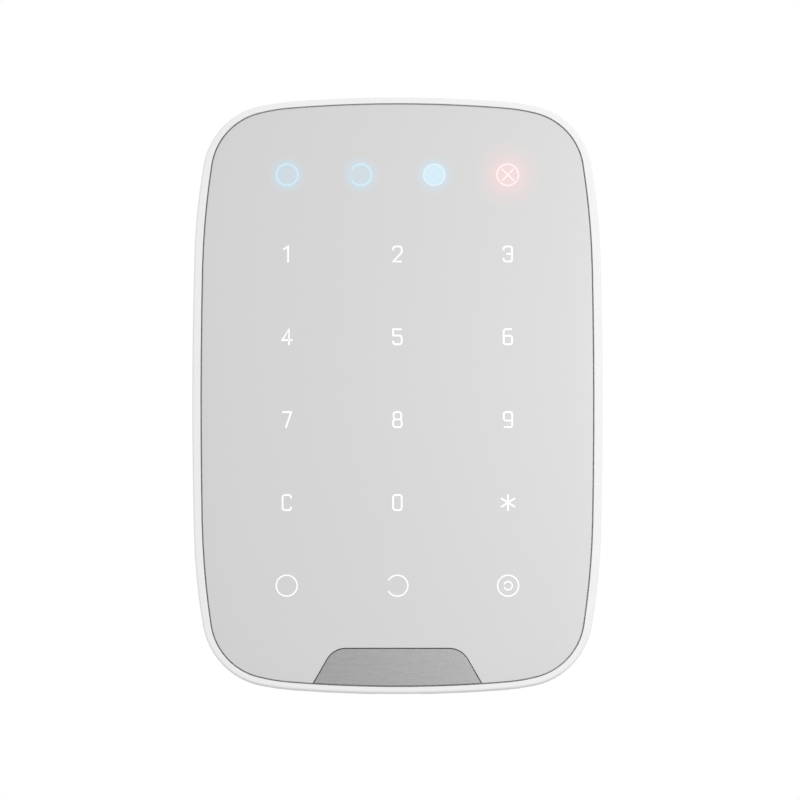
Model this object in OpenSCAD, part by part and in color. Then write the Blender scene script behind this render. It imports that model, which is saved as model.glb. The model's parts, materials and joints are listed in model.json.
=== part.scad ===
// Alarm keypad panel: a slim battery touch keypad that slides down onto a bracket on the wall.
// Millimetres. X is to the right, Z is up and the front faces -Y.
// The origin is the centre of the bracket's wall face. A depth is a distance in front of that face.

/* [Case] */
// Width of the case
body_w = 103; // [102:0.5:104]
// Height of the case
body_h = 150; // [149:0.5:152]
// Depth from the wall to the front of the frame
body_d = 14; // [14:0.1:14.5]
// Thickness of the case walls
wall_t = 1.4; // [1.2:0.1:1.5]
// Thickness of the flat back of the rear shell
back_t = 1.2; // [1:0.1:1.2]
// Depth at which the frame and the rear shell meet
split_d = 7; // [6.8:0.1:7.2]

/* [Touch panel] */
// Width of the opening that the panel sits in, to the middle of its gap
panel_w = 98.6; // [97.6:0.2:99]
// Height of that opening
panel_h = 146.7; // [145:0.1:147]
// Thickness of the panel
panel_t = 1.2; // [1:0.1:1.3]
// Gap round the panel
panel_gap = 0.3; // [0.2:0.05:0.4]

/* [Keys] */
// Distance between key columns
key_pitch_x = 27.75; // [26:0.25:28]
// Distance between key rows
key_pitch_z = 20.87; // [20:0.01:21]
// Height of the top row of digits
key_top_z = 35.4; // [35:0.1:36]
// Height of the row of status lights
status_z = 55.4; // [55:0.1:56]
// Distance between status lights
status_pitch = 18.5; // [17.5:0.25:18.75]

/* [Badge] */
// Half-width of the plate where its sides meet the bottom
badge_half_w = 20.95; // [19:0.05:22]
// Height of its top edge
badge_top_z = -63.9; // [-64.5:0.1:-63]
// Height of its bottom corners
badge_low_z = -72.5; // [-73:0.1:-72]
// Radius of its top corners
badge_r = 5.3; // [4:0.1:6]
// Thickness of the plate
badge_t = 0.45; // [0.3:0.05:0.5]

/* [Bracket] */
// Thickness of the bracket's plate
plate_t = 2; // [1.8:0.1:2]
// How far the plate's edge lies inside the case's edge
plate_inset = 4.5; // [4.2:0.1:4.8]
// Travel of the case up off the hooks
slide_travel = 8; // [6:0.5:8]
// Distance between the wall screws across
wall_screw_x = 44; // [40:1:46]
// Distance between the wall screws up and down
wall_screw_z = 112; // [106:1:112]
// Diameter of the wall screw holes
wall_hole_dia = 4.2; // [3.6:0.2:4.4]

/* [Cells] */
// Diameter of a cell
cell_dia = 10.5; // [10.2:0.1:10.5]
// Length of a cell with its nub
cell_length = 44.5; // [44:0.1:44.6]
// Distance of the cells from the middle
cell_x = 38; // [38:0.1:38.2]

/* [Hidden] */
$fn = 48;
eps = 0.01;

// Where the five arcs of a quarter outline meet, as the angle of the edge's normal above X
body_turns = [0, 1.5, 10, 78.5, 85.7, 90];
panel_turns = [0, 1.1, 8.7, 75.7, 85.3, 90];
// Radii of the arc next to the side's, the arc next to the end's, and the end's own
body_blends = [157, 67, 348];
panel_blends = [204, 46.7, 332];
// Straight pieces that each arc is drawn with
arc_pieces = [2, 3, 12, 2, 3];

// Width and height that arc i adds for each millimetre of its radius
function arc_run(turns, i) = cos(turns[i]) - cos(turns[i + 1]);
function arc_rise(turns, i) = sin(turns[i + 1]) - sin(turns[i]);

// Radii of the five arcs: the side's and the corner's are solved to fill the width and the height
function arc_radii(w, h, turns, blends) = let (
        run = [for (i = [0 : 4]) arc_run(turns, i)],
        rise = [for (i = [0 : 4]) arc_rise(turns, i)],
        x = w / 2 - blends[0] * run[1] - blends[1] * run[3] - blends[2] * run[4],
        z = h / 2 - blends[0] * rise[1] - blends[1] * rise[3] - blends[2] * rise[4],
        share = run[0] * rise[2] - run[2] * rise[0]
    ) [
        (x * rise[2] - z * run[2]) / share,
        blends[0],
        (z * run[0] - x * rise[0]) / share,
        blends[1],
        blends[2]
    ];

function total(v, i = 0) = i < len(v) ? v[i] + total(v, i + 1) : 0;

// Point on arc i where the edge's normal has that angle
function arc_point(r, turns, i, angle) = [
    r[i] * (cos(angle) - cos(turns[i + 1])) + total([for (j = [i + 1 : 1 : 4]) r[j] * arc_run(turns, j)]),
    r[i] * (sin(angle) - sin(turns[i])) + total([for (j = [0 : 1 : i - 1]) r[j] * arc_rise(turns, j)])
];

// The upper right quarter of an outline, then the whole of it
function quarter(r, turns) = concat(
    [for (i = [0 : 4], k = [0 : arc_pieces[i] - 1])
        arc_point(r, turns, i, turns[i] + (turns[i + 1] - turns[i]) * k / arc_pieces[i])],
    [arc_point(r, turns, 4, 90)]
);
function outline(r, turns) = let (q = quarter(r, turns), last = len(q) - 1) [
    for (s = [[1, 1], [-1, 1], [-1, -1], [1, -1]], k = [0 : last - 1])
        let (p = s[0] == s[1] ? q[k] : q[last - k]) [s[0] * p[0], s[1] * p[1]]
];

body_radii = arc_radii(body_w, body_h, body_turns, body_blends);
panel_radii = arc_radii(panel_w, panel_h, panel_turns, panel_blends);

// Depths of the layers, from the front of the frame to the wall
panel_front = body_d - 0.1;
panel_back = panel_front - panel_t;
tape_t = 0.2;
ledge_front = panel_back - tape_t;
ledge_t = 1;
ledge_back = ledge_front - ledge_t;
diffuser_t = 0.3;
diffuser_back = ledge_front - diffuser_t;
board_front = 8;
board_t = 1;
board_back = board_front - board_t;
shell_back = plate_t + 0.2;
shell_inside = shell_back + back_t;

// How far the case's edge lies inside its widest outline at the front, at the split and at the back
front_inset = 0.6;
front_bevel = 0.8;
split_inset = 0.05;
flare_d = 3;
back_inset = 3.4;
back_curve_d = 5;
back_pieces = 6;

// Round back edge, as depths and insets: a quarter of an ellipse that ends at a given depth and inset
function back_curve(from_inset, to_depth, to_inset) = [
    for (k = [0 : back_pieces]) let (turn = 90 * k / back_pieces) [
        back_curve_d + (to_depth - back_curve_d) * sin(turn),
        from_inset + (to_inset - from_inset) * (1 - cos(turn))
    ]
];

// How much further in the flat inside of the back ends than its outside
inside_step = 0.8;

// Widths of the ledge behind the panel and of the tape on it
ledge_w = 1.9;
tape_edge = 0.3;
tape_w = 1.7;
film_inset = 2.3;

// Badge: slope of its sides, gap round it, the tape behind it, and the floor of its pocket
badge_slope = 60;
badge_reach = 20;
badge_gap = 0.25;
badge_edge = 0.05;
badge_tape_t = 0.1;
badge_tape_margin = 0.2;
badge_back = panel_front - badge_edge - badge_t;
badge_floor = badge_back - badge_tape_t;

// Posts that the case screws go into, on the corner arc
post_angle = 45;
post_inset = 6.2;
post_r = 2.8;
post_at = arc_point([for (r = body_radii) r - post_inset], body_turns, 2, post_angle);
post_end = 5.2;
post_top = diffuser_back - 0.1;
case_screw_r = 1;
case_screw_length = 6;
case_head_r = 2;
case_head_t = 0.9;
case_cross = [2.4, 0.6];
case_cross_depth = 0.5;
thread_bite = 0.05;
screw_clear = 0.2;
bore_spare = 0.5;
corners = [[1, 1], [-1, 1], [-1, -1], [1, -1]];
sides = [-1, 1];

// Cells: two end to end in a channel on each side, with the spring contacts at the bottom
cell_r = cell_dia / 2;
cell_clear = 0.1;
cell_d = 1.2 + cell_r;
bay_r = cell_r + cell_clear;
bay_wall = 0.6;
contact_t = 0.3;
spring_length = 2.7;
cell_nub_r = 1.9;
cell_nub_t = 0.8;
cells_low = -44.6;
cells_top = cells_low + 2 * cell_length;
bay_low = cells_low - spring_length - contact_t;
bay_top = cells_top + contact_t;
bay_end_t = 1;

// Hooks on the bracket and the slots in the rear shell that they go through
hook_w = 10;
hook_post_z = 2.5;
hook_lip = 6;
hook_gap = 0.2;
hook_lip_t = 1.3;
hook_front = shell_inside + hook_gap + hook_lip_t;
hook_x = 20;
hook_lows = [26, -40];
slot_side_gap = 0.3;
slot_end_gap = 0.1;

// Tamper tab on the bracket, and the ramp that the plunger runs on
tab_half_w = 9;
tab_low = -54;
tab_top = -24;
tab_cut = 1;
tab_bridge = 1.4;
tab_bridge_z = [tab_low + 5, tab_low + 15, tab_top - 5];
tab_spare = 5;
tab_hole_z = -49;
tamper_z = -39;
ramp_slope = 0.125;
ramp_half_w = 2.5;
ramp_start = plate_t - 0.2;
tamper_gap = 0.3;
plunger_r = 1.2;
plunger_tip = ramp_start + tamper_gap;
plunger_flange_r = 2.1;
plunger_flange_t = 0.4;
plunger_flange_d = 4.7;
plunger_clear = 0.1;
tamper_box = 6.6;
tamper_box_d = 4.3;
tamper_spring_r = 1.6;
tamper_wire_r = 0.15;
tamper_turns = 3;
tamper_bore_r = 2.2;
tamper_floor_t = 0.3;

// Power button and the switch that it works
button_at = [-20, -8];
button_r = 3;
button_clear = 0.1;
button_flange_r = 3.8;
button_face = shell_back + 0.3;
button_flange_d = shell_inside + 0.1;
button_flange_t = 0.6;
button_stem_r = 1;
button_stem_end = 4.6;
switch_box = 6;
switch_top = 5.3;
switch_plunger_r = 1.6;
switch_plunger_t = 1;
switch_plunger_clear = 0.1;

// Lock screw and the ear that it goes through
ear_half_w = 5;
ear_t = 1.8;
ear_low = -(body_h / 2 - plate_inset);
ear_top = ear_low + ear_t;
ear_sink = 0.2;
ear_front = 6.8;
lock_d = 4.4;
lock_r = 1.15;
lock_length = 10;
lock_head_r = 2.2;
lock_head_t = 1.6;
lock_hole_r = 1.25;
ear_hole_r = 1.4;
notch_gap = 0.4;
notch_top = ear_top + 0.2;
notch_wall = 2;
notch_roof = 1.4;
lock_boss_half_w = 3.4;
lock_boss_top = -58;
lock_boss_d = 6.8;
lock_hole_spare = 0.6;

// Board, baffle and what is on them
board_half_w = 31.5;
board_low = -60;
board_top = 64;
board_corner = 3;
baffle_half_w = 31;
baffle_low = -55;
baffle_top = 62;
baffle_web_t = 1;
cell_light_r = 4.2;
light_wall = 0.6;
board_screw_spots = [for (x = sides, z = [-37.6, 45.4]) [x * key_pitch_x / 2, z]];
board_screw_r = 0.8;
board_screw_length = 3.2;
board_head_r = 1.6;
board_head_t = 0.8;
board_hole_clear = 0.3;
baffle_wall_d = 10.5;
baffle_post_r = 2.2;
baffle_post_drop = 1;
baffle_bore_end = 0.6;
led_size = [1.6, 0.8];
led_t = 0.6;
status_led_size = [2, 1.25];
buzzer_z = 46;
buzzer_r = 10;
buzzer_d = shell_inside + 0.8;
buzzer_t = 0.2;
ceramic_r = 7;
buzzer_pin_x = 8.5;
buzzer_pin_r = 0.6;
buzzer_wall = 1;
buzzer_wall_d = shell_inside + 1.4;
sound_ring_r = 4;
sound_hole_r = 0.7;

// What stands on the back of the board: place, size and height above the board
microcontroller_at = [7, 8];
microcontroller_size = [9, 9];
microcontroller_t = 1;
touch_controller_at = [-6, 14];
touch_controller_size = [6, 6];
touch_controller_t = 0.9;
crystal_at = [16, 6];
crystal_size = [3.2, 2.5];
crystal_t = 0.8;
capacitor_at = [9, -20];
capacitor_size = [7.3, 4.3];
capacitor_t = 1.9;
shield_at = [0, 24];
shield_size = [18, 11];
shield_t = 1.8;
shield_sheet = 0.25;
antenna_x = [-20, 14];
antenna_z = [59, 62];
antenna_d = board_back - 2.4;
antenna_strip = 0.3;
antenna_legs = [-20, -12];

// Spring wire of the cell contacts, and the square contact plates
spring_wire_r = 0.25;
spring_foot_r = 4;
spring_tip_r = 2.2;
spring_turns = 3;
contact_half = 3.6;
contact_overlap = 1.5;
contact_tab_d = 0.4;
foam_half_w = 4;
foam_margin = 3;
foam_gap = 0.05;

// Recess for the label on the back
label_half_w = 13;
label_low = -3;
label_top = 21;
label_t = 0.15;

key_rows = [for (i = [0 : 4]) key_top_z - i * key_pitch_z];
key_spots = [for (z = key_rows, x = [-1 : 1]) [x * key_pitch_x, z]];
status_spots = [for (i = [-1.5 : 1.5]) [i * status_pitch, status_z]];

// A flat shape drawn in X and Z, made solid between two depths
module slab(from, to) {
    translate([0, -from, 0]) rotate([90, 0, 0]) linear_extrude(to - from) children();
}

// A round bar that runs from one depth to another
module bar(at, r, from, to) {
    translate([at[0], -from, at[1]]) rotate([90, 0, 0]) cylinder(r = r, h = to - from);
}

// A round bar that widens from one depth to another
module cone_bar(at, r_from, r_to, from, to) {
    translate([at[0], -from, at[1]]) rotate([90, 0, 0]) cylinder(r1 = r_from, r2 = r_to, h = to - from);
}

// A box centred on a spot, between two depths
module chip(at, size, from, to) {
    translate([at[0] - size[0] / 2, -to, at[1] - size[1] / 2]) cube([size[0], to - from, size[1]]);
}

// A box given by its limits along X, depth and Z
module block(x, d, z) {
    translate([x[0], -d[1], z[0]]) cube([x[1] - x[0], d[1] - d[0], z[1] - z[0]]);
}

module body_shape(inset = 0) {
    polygon(outline([for (r = body_radii) r - inset], body_turns));
}

module panel_shape(inset = 0) {
    polygon(outline([for (r = panel_radii) r - inset], panel_turns));
}

// Solid that follows the case's outline from front to back; each station is a depth and an inset
module loft(stations) {
    rings = [for (s = stations) outline([for (r = body_radii) r - s[1]], body_turns)];
    n = len(rings[0]);
    last = len(stations) - 1;
    points = [for (k = [0 : last], p = rings[k]) [p[0], -stations[k][0], p[1]]];
    skin = [for (k = [0 : last - 1], i = [0 : n - 1]) let (j = (i + 1) % n)
        [k * n + i, k * n + j, (k + 1) * n + j, (k + 1) * n + i]];
    ends = [[for (i = [n - 1 : -1 : 0]) i], [for (i = [0 : n - 1]) last * n + i]];
    polyhedron(points, concat([ends[0]], skin, [ends[1]]));
}

// Tube of wire wound in a coil, whose radius goes from r0 at the bottom to r1 at the top
module coil(r0, r1, wire_r, length, turns) {
    rings = round(turns * 12);
    edge = 6;
    points = [for (i = [0 : rings], k = [0 : edge - 1]) let (
            share = i / rings,
            spin = 360 * turns * share,
            r = r0 + (r1 - r0) * share + wire_r * cos(360 * k / edge)
        ) [
            r * cos(spin),
            r * sin(spin),
            wire_r + (length - 2 * wire_r) * share + wire_r * sin(360 * k / edge)
        ]];
    skin = [for (i = [0 : rings - 1], k = [0 : edge - 1]) let (next = (k + 1) % edge) [
            i * edge + k,
            (i + 1) * edge + k,
            (i + 1) * edge + next,
            i * edge + next
        ]];
    ends = [[for (k = [0 : edge - 1]) k], [for (k = [edge - 1 : -1 : 0]) rings * edge + k]];
    polyhedron(points, concat(skin, ends), convexity = 6);
}

module hook(x, low) {
    block([x - hook_w / 2, x + hook_w / 2], [plate_t - eps, hook_front], [low, low + hook_post_z]);
    block(
        [x - hook_w / 2, x + hook_w / 2],
        [hook_front - hook_lip_t, hook_front],
        [low + hook_post_z - eps, low + hook_post_z + hook_lip]
    );
}

// Cut round the tamper tab, left whole at its bridges
module tab_perforation() {
    difference() {
        block(
            [-tab_half_w - tab_cut, tab_half_w + tab_cut],
            [-1, plate_t + 1],
            [tab_low - tab_cut, tab_top + tab_cut]
        );
        block([-tab_half_w, tab_half_w], [-2, plate_t + 2], [tab_low, tab_top]);
        for (z = tab_bridge_z)
            block(
                [-tab_half_w - tab_spare, tab_half_w + tab_spare],
                [-2, plate_t + 2],
                [z - tab_bridge / 2, z + tab_bridge / 2]
            );
        block(
            [-tab_bridge / 2, tab_bridge / 2],
            [-2, plate_t + 2],
            [tab_low - tab_spare, tab_top + tab_spare]
        );
    }
}

// Sloping pocket that lets the plunger out as the case goes up
module ramp_cut() {
    low = tamper_z - plunger_r - 1;
    high = tamper_z + slide_travel + plunger_r + 1;
    deep = ramp_start - ramp_slope * (high - tamper_z);
    shallow = ramp_start - ramp_slope * (low - tamper_z);
    translate([-ramp_half_w, 0, 0]) rotate([90, 0, 90]) linear_extrude(2 * ramp_half_w)
        polygon([[-shallow, low], [-deep, high], [-plate_t - 1, high], [-plate_t - 1, low]]);
}

// Windows that the cell bays stand in, long enough for them to slide
module bay_windows() {
    half_w = 4.5;
    end_gap = 0.6;
    for (s = sides)
        block(
            [s * cell_x - half_w, s * cell_x + half_w],
            [-1, plate_t + 1],
            [bay_low - bay_end_t - end_gap, bay_top + bay_end_t + slide_travel + end_gap]
        );
}

// Shallow pockets in the wall face, which leave ribs between them
module plate_pockets() {
    deep = 0.8;
    columns = [[-30.5, -10.5], [-7.5, 7.5], [10.5, 30.5]];
    rows = [[-20.5, -2.5], [2.5, 20.5], [34.5, 47]];
    for (x = columns, z = rows) block(x, [-1, deep], z);
}

module wall_holes() {
    hole_r = wall_hole_dia / 2;
    head_r = hole_r + 1.8;
    straight = 0.9;
    spots = concat([for (c = corners) [c[0] * wall_screw_x / 2, c[1] * wall_screw_z / 2]], [[0, tab_hole_z]]);
    for (at = spots) {
        bar(at, hole_r, -1, plate_t + 1);
        cone_bar(at, hole_r, head_r, straight, plate_t);
        bar(at, head_r, plate_t - eps, plate_t + 1);
    }
}

module mounting_bracket() {
    color("whitesmoke") difference() {
        union() {
            slab(0, plate_t) body_shape(plate_inset);
            for (s = sides, low = hook_lows) hook(s * hook_x, low);
            block([-ear_half_w, ear_half_w], [plate_t - eps, ear_front], [ear_low + ear_sink, ear_top]);
        }
        bay_windows();
        plate_pockets();
        wall_holes();
        tab_perforation();
        ramp_cut();
        translate([0, -lock_d, ear_low - 1]) cylinder(r = ear_hole_r, h = ear_t + 2);
    }
}

module lock_screw() {
    slot_w = 0.7;
    slot_length = 2.8;
    slot_deep = 1;
    color("silver") translate([0, -lock_d, 0]) difference() {
        union() {
            translate([0, 0, ear_low - lock_head_t]) cylinder(r = lock_head_r, h = lock_head_t);
            translate([0, 0, ear_low - eps]) cylinder(r = lock_r, h = lock_length);
        }
        for (spin = [0, 90])
            rotate([0, 0, spin])
                translate([-slot_length / 2, -slot_w / 2, ear_low - lock_head_t - 1])
                    cube([slot_length, slot_w, 1 + slot_deep]);
    }
}

module front_frame() {
    color("white") difference() {
        union() {
            difference() {
                loft([
                    [body_d, front_inset],
                    [body_d - front_bevel, 0],
                    [split_d + flare_d, 0],
                    [split_d, split_inset]
                ]);
                slab(0, ledge_back) body_shape(split_inset + wall_t);
                slab(ledge_back - 1, ledge_front + eps) panel_shape(ledge_w);
                slab(ledge_front, body_d + 1) panel_shape(-panel_gap / 2);
            }
            for (c = corners) bar([c[0] * post_at[0], c[1] * post_at[1]], post_r, post_end, post_top);
        }
        for (c = corners)
            bar(
                [c[0] * post_at[0], c[1] * post_at[1]],
                case_screw_r + thread_bite,
                0,
                shell_inside + case_screw_length + bore_spare
            );
    }
}

// The badge's outline: a flat top, round corners and sloping sides, grown outwards by a margin
module badge_shape(margin = 0) {
    side_run = (badge_top_z - badge_low_z) / tan(badge_slope);
    arc_x = badge_half_w - side_run - badge_r * tan(badge_slope / 2);
    arc_z = badge_top_z - badge_r;
    r = badge_r + margin;
    arc = [
        for (k = [0 : 8]) let (a = 90 - badge_slope * (1 - k / 8))
            [arc_x + r * cos(a), arc_z + r * sin(a)]
    ];
    foot = arc[0] + badge_reach * [cos(badge_slope), -sin(badge_slope)];
    right = concat([foot], arc);
    last = len(right) - 1;
    polygon(concat(right, [for (k = [last : -1 : 0]) [-right[k][0], right[k][1]]]));
}

module badge_solid(margin, inset, from, to) {
    intersection() {
        slab(from, to) badge_shape(margin);
        slab(from - 1, to + 1) panel_shape(inset);
    }
}

module touch_panel() {
    color("gainsboro") difference() {
        slab(panel_back, panel_front) panel_shape(panel_gap / 2);
        badge_solid(badge_gap, -1, badge_floor, panel_front + 1);
    }
}

module badge_plate() {
    color("darkgray") badge_solid(0, panel_gap / 2 + badge_edge, badge_back, badge_back + badge_t);
}

module badge_adhesive() {
    edge = panel_gap / 2 + badge_edge;
    color("dimgray") badge_solid(badge_tape_margin, edge, badge_floor, badge_back);
}

module panel_adhesive() {
    color("dimgray") difference() {
        slab(ledge_front, panel_back) panel_shape(panel_gap / 2 + tape_edge);
        slab(ledge_front - 1, panel_back + 1) panel_shape(tape_edge + tape_w);
    }
}

module touch_sensor_film() {
    color("wheat") slab(ledge_front, panel_back) panel_shape(film_inset);
}

module diffuser_film() {
    color("ivory") slab(diffuser_back, ledge_front) panel_shape(film_inset);
}

// White grid with a tube for the light of each LED
module light_baffle() {
    tubes = concat(key_spots, status_spots);
    rim = 1;
    color("white") difference() {
        union() {
            block(
                [-baffle_half_w, baffle_half_w],
                [board_front, board_front + baffle_web_t],
                [baffle_low, baffle_top]
            );
            difference() {
                block(
                    [-baffle_half_w, baffle_half_w],
                    [board_front, baffle_wall_d],
                    [baffle_low, baffle_top]
                );
                block(
                    [-baffle_half_w + rim, baffle_half_w - rim],
                    [0, body_d],
                    [baffle_low + rim, baffle_top - rim]
                );
            }
            for (at = tubes) bar(at, cell_light_r + light_wall, board_front, diffuser_back);
            for (at = board_screw_spots)
                bar(at, baffle_post_r, board_front, diffuser_back - baffle_post_drop);
        }
        for (at = tubes) bar(at, cell_light_r, 0, body_d);
        for (at = board_screw_spots)
            bar(at, board_screw_r + thread_bite, 0, diffuser_back - baffle_post_drop - baffle_bore_end);
    }
}

module main_board() {
    c = board_corner;
    w = board_half_w;
    color("seagreen") difference() {
        slab(board_back, board_front) polygon([
            [w, board_low + c], [w, board_top - c], [w - c, board_top], [-w + c, board_top],
            [-w, board_top - c], [-w, board_low + c], [-w + c, board_low], [w - c, board_low]
        ]);
        for (at = board_screw_spots)
            bar(at, board_screw_r + board_hole_clear, board_back - 1, board_front + 1);
    }
}

module board_screws() {
    color("silver") for (at = board_screw_spots) {
        bar(at, board_head_r, board_back - board_head_t, board_back);
        bar(at, board_screw_r, board_back - eps, board_back + board_screw_length);
    }
}

module key_leds() {
    color("lightyellow") for (at = key_spots) chip(at, led_size, board_front, board_front + led_t);
}

module status_leds_blue() {
    color("deepskyblue") for (i = [0 : 2])
        chip(status_spots[i], status_led_size, board_front, board_front + led_t);
}

module status_led_red() {
    color("tomato") chip(status_spots[3], status_led_size, board_front, board_front + led_t);
}

module microcontroller() {
    color("dimgray")
        chip(microcontroller_at, microcontroller_size, board_back - microcontroller_t, board_back);
}

module touch_controller() {
    color("dimgray")
        chip(touch_controller_at, touch_controller_size, board_back - touch_controller_t, board_back);
}

module quartz_crystal() {
    color("silver") chip(crystal_at, crystal_size, board_back - crystal_t, board_back);
}

module supply_capacitors() {
    color("goldenrod") for (s = sides)
        chip([s * capacitor_at[0], capacitor_at[1]], capacitor_size, board_back - capacitor_t, board_back);
}

// Pressed can over the radio, open towards the board
module radio_shield() {
    room = shield_size - [2 * shield_sheet, 2 * shield_sheet];
    color("silver") difference() {
        chip(shield_at, shield_size, board_back - shield_t, board_back);
        chip(shield_at, room, board_back - shield_t + shield_sheet, board_back + 1);
    }
}

// Bent strip on two legs that stand on the board
module antenna() {
    color("gold") {
        block(antenna_x, [antenna_d, antenna_d + antenna_strip], antenna_z);
        for (x = antenna_legs) block([x, x + antenna_strip], [antenna_d, board_back], antenna_z);
    }
}

module buzzer_disc() {
    color("goldenrod") bar([0, buzzer_z], buzzer_r, buzzer_d, buzzer_d + buzzer_t);
}

module buzzer_ceramic() {
    color("ivory") bar([0, buzzer_z], ceramic_r, buzzer_d + buzzer_t, buzzer_d + 2 * buzzer_t);
}

// Two sprung pins from the board to the disc and to its ceramic
module buzzer_contacts() {
    color("gold") {
        bar([0, buzzer_z], buzzer_pin_r, buzzer_d + 2 * buzzer_t, board_back);
        bar([buzzer_pin_x, buzzer_z], buzzer_pin_r, buzzer_d + buzzer_t, board_back);
    }
}

module tamper_switch() {
    color("black") difference() {
        chip([0, tamper_z], [tamper_box, tamper_box], tamper_box_d, board_back);
        bar([0, tamper_z], tamper_bore_r, 0, board_back - tamper_floor_t);
    }
}

module tamper_plunger() {
    color("white") {
        bar([0, tamper_z], plunger_r, plunger_tip, plunger_flange_d + eps);
        bar([0, tamper_z], plunger_flange_r, plunger_flange_d, plunger_flange_d + plunger_flange_t);
    }
}

module tamper_spring() {
    from = plunger_flange_d + plunger_flange_t;
    to = board_back - tamper_floor_t;
    color("silver") translate([0, -to, tamper_z]) rotate([-90, 0, 0])
        coil(tamper_spring_r, tamper_spring_r, tamper_wire_r, to - from, tamper_turns);
}

module power_switch() {
    color("black") difference() {
        chip(button_at, [switch_box, switch_box], switch_top, board_back);
        bar(button_at, switch_plunger_r + switch_plunger_clear, 0, switch_top + switch_plunger_t);
    }
}

module switch_plunger() {
    color("tomato") bar(button_at, switch_plunger_r, button_stem_end, button_stem_end + switch_plunger_t);
}

module power_button() {
    color("white") {
        bar(button_at, button_r, button_face, button_flange_d + eps);
        bar(button_at, button_flange_r, button_flange_d, button_flange_d + button_flange_t);
        bar(button_at, button_stem_r, button_flange_d + button_flange_t - eps, button_stem_end);
    }
}

// One cell that stands upright with its nub at the top
module cell(side, low) {
    color("slategray") translate([side * cell_x, -cell_d, low]) {
        cylinder(r = cell_r, h = cell_length - cell_nub_t);
        cylinder(r = cell_nub_r, h = cell_length);
    }
}

module battery_upper_left() {
    cell(-1, cells_low + cell_length);
}

module battery_lower_left() {
    cell(-1, cells_low);
}

module battery_upper_right() {
    cell(1, cells_low + cell_length);
}

module battery_lower_right() {
    cell(1, cells_low);
}

module battery_springs() {
    color("silver") for (s = sides)
        translate([s * cell_x, -cell_d, cells_low - spring_length])
            coil(spring_foot_r, spring_tip_r, spring_wire_r, spring_length, spring_turns);
}

// Contact plate at one end of a channel, with a tab that reaches the board
module contact_plate(side, low) {
    x = side * cell_x;
    tab_end = side * (board_half_w - contact_overlap);
    block(
        [x - contact_half, x + contact_half],
        [cell_d - contact_half, cell_d + contact_half],
        [low, low + contact_t]
    );
    block(
        [min(tab_end, x), max(tab_end, x)],
        [board_back - contact_tab_d, board_back],
        [low, low + contact_t]
    );
}

module spring_plates() {
    color("silver") for (s = sides) contact_plate(s, bay_low);
}

module button_contacts() {
    color("silver") for (s = sides) contact_plate(s, cells_top);
}

module battery_foam() {
    color("gray") for (s = sides)
        block(
            [s * cell_x - foam_half_w, s * cell_x + foam_half_w],
            [cell_d + cell_r + foam_gap, diffuser_back],
            [cells_low + foam_margin, cells_top - foam_margin]
        );
}

// Half-round trough that holds the cells of one side
module bay_outside(side) {
    intersection() {
        translate([side * cell_x, -cell_d, bay_low - bay_end_t])
            cylinder(r = bay_r + bay_wall, h = bay_top - bay_low + 2 * bay_end_t);
        block([-body_w, body_w], [0, cell_d], [-body_h, body_h]);
    }
}

module bay_inside(side) {
    translate([side * cell_x, -cell_d, bay_low]) cylinder(r = bay_r, h = bay_top - bay_low);
}

module hook_slot(x, low) {
    half_w = hook_w / 2 + slot_side_gap;
    block(
        [x - half_w, x + half_w],
        [0, shell_inside + 1],
        [low - slide_travel - slot_side_gap, low + hook_post_z + slot_end_gap]
    );
}

module sound_holes() {
    ring = [for (spin = [0 : 60 : 300]) sound_ring_r * [cos(spin), sin(spin)]];
    for (at = concat([[0, 0]], ring)) bar(at + [0, buzzer_z], sound_hole_r, 0, shell_inside + 1);
}

module rear_shell() {
    screw_spots = [for (c = corners) [c[0] * post_at[0], c[1] * post_at[1]]];
    color("whitesmoke") difference() {
        union() {
            difference() {
                loft(concat([[split_d, split_inset]], back_curve(split_inset, shell_back, back_inset)));
                loft(concat(
                    [[split_d + 1, split_inset + wall_t]],
                    back_curve(split_inset + wall_t, shell_inside, back_inset + inside_step)
                ));
            }
            for (s = sides) bay_outside(s);
            for (at = screw_spots) bar(at, post_r, shell_inside - eps, post_end - 0.1);
            bar([0, buzzer_z], buzzer_r + buzzer_wall, shell_inside - eps, buzzer_wall_d);
            block(
                [-ear_half_w - notch_wall, ear_half_w + notch_wall],
                [shell_inside - eps, split_d - eps],
                [notch_top - eps, notch_top + notch_roof]
            );
            block(
                [-ear_half_w - notch_wall, ear_half_w + notch_wall],
                [shell_back, split_d - eps],
                [back_inset - body_h / 2, notch_top]
            );
            block(
                [-lock_boss_half_w, lock_boss_half_w],
                [shell_inside - eps, lock_boss_d],
                [notch_top, lock_boss_top]
            );
        }
        for (s = sides) bay_inside(s);
        for (s = sides, low = hook_lows) hook_slot(s * hook_x, low);
        for (at = screw_spots) {
            bar(at, case_screw_r + screw_clear, 0, post_end);
            bar(at, case_head_r + screw_clear, 0, shell_inside);
        }
        bar([0, buzzer_z], buzzer_r + 0.1, buzzer_d, split_d);
        bar([0, buzzer_z], buzzer_r - buzzer_wall, shell_inside, split_d);
        sound_holes();
        bar(button_at, button_r + button_clear, 0, shell_inside + 1);
        bar([0, tamper_z], plunger_r + plunger_clear, 0, shell_inside + 1);
        block([-label_half_w, label_half_w], [0, shell_back + label_t], [label_low, label_top]);
        block([-ear_half_w - notch_gap, ear_half_w + notch_gap], [0, split_d + 1], [-body_h, notch_top]);
        translate([0, -lock_d, notch_top - 1]) cylinder(r = lock_hole_r, h = lock_length + lock_hole_spare);
    }
}

module case_screws() {
    color("silver") for (c = corners) {
        at = [c[0] * post_at[0], c[1] * post_at[1]];
        difference() {
            union() {
                bar(at, case_head_r, shell_inside - case_head_t, shell_inside);
                bar(at, case_screw_r, shell_inside - eps, shell_inside + case_screw_length);
            }
            for (size = [case_cross, [case_cross[1], case_cross[0]]])
                chip(at, size, 0, shell_inside - case_head_t + case_cross_depth);
        }
    }
}

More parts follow.
